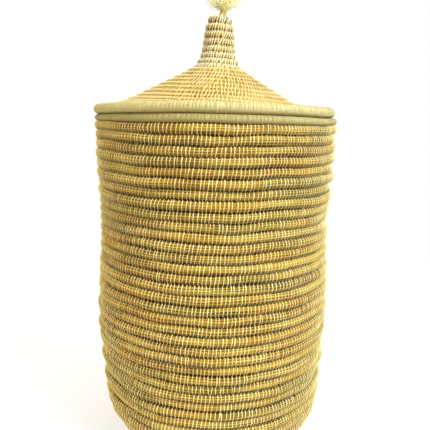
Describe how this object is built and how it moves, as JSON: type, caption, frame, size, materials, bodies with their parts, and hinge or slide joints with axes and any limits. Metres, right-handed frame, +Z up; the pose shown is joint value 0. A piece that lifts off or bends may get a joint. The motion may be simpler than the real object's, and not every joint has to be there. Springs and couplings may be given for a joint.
{
  "type": "laundry basket",
  "caption": "Tall round coiled-grass laundry basket with a gently waisted wall, a lift-off conical lid, a narrow neck and a raffia tuft on top",
  "frame": {"origin": "centre of the flat underside of the base, on the floor", "axes": "+Z up the basket's axis to the tuft; -Y is the side looked at as the front; +X to the right of it"},
  "size_m": [0.4228, 0.4228, 0.827],
  "materials": {
    "wall_grass": "matte",
    "mouth_raffia": "matte",
    "lid_rim_raffia": "matte",
    "lid_grass": "matte",
    "neck_grass": "matte",
    "tuft_raffia": "matte"
  },
  "bodies": {
    "basket": {"base_coil": "wall_grass", "wall_course_01": "wall_grass", "wall_course_02": "wall_grass", "wall_course_03": "wall_grass", "wall_course_04": "wall_grass", "wall_course_05": "wall_grass", "wall_course_06": "wall_grass", "wall_course_07": "wall_grass", "wall_course_08": "wall_grass", "wall_course_09": "wall_grass", "wall_course_10": "wall_grass", "wall_course_11": "wall_grass", "wall_course_12": "wall_grass", "wall_course_13": "wall_grass", "wall_course_14": "wall_grass", "wall_course_15": "wall_grass", "wall_course_16": "wall_grass", "wall_course_17": "wall_grass", "wall_course_18": "wall_grass", "wall_course_19": "wall_grass", "wall_course_20": "wall_grass", "wall_course_21": "wall_grass", "wall_course_22": "wall_grass", "wall_course_23": "wall_grass", "wall_course_24": "wall_grass", "wall_course_25": "wall_grass", "wall_course_26": "wall_grass", "wall_course_27": "wall_grass", "wall_course_28": "wall_grass", "wall_course_29": "wall_grass", "wall_course_30": "wall_grass", "wall_course_31": "wall_grass", "wall_course_32": "wall_grass", "wall_course_33": "wall_grass", "wall_course_34": "wall_grass", "wall_course_35": "wall_grass", "wall_course_36": "wall_grass", "wall_course_37": "wall_grass", "wall_course_38": "wall_grass", "wall_course_39": "wall_grass", "wall_course_40": "wall_grass", "mouth_rim": "mouth_raffia"},
    "lid": {"lid_rim": "lid_rim_raffia", "lid_course_01": "lid_grass", "lid_course_02": "lid_grass", "lid_course_03": "lid_grass", "lid_course_04": "lid_grass", "lid_course_05": "lid_grass", "lid_course_06": "lid_grass", "lid_course_07": "lid_grass", "lid_course_08": "lid_grass", "lid_course_09": "lid_grass", "lid_course_10": "lid_grass", "lid_course_11": "lid_grass", "lid_course_12": "lid_grass", "lid_seat_ring": "lid_grass", "neck_coil": "neck_grass", "tuft_knot": "tuft_raffia"},
    "tassel": {"tuft": "tuft_raffia"}
  },
  "joints": [
    {"name": "lid_lift", "type": "slide", "parent": "basket", "child": "lid", "axis": [0, 0, 1], "range_m": [0, 0.36]},
    {"name": "tuft_sway", "type": "hinge", "parent": "lid", "child": "tassel", "pos_m": [0, 0, 0.77204], "axis": [0, 1, 0], "range_deg": [-18, 18], "stiffness_Nm_per_rad": 0.06}
  ]
}
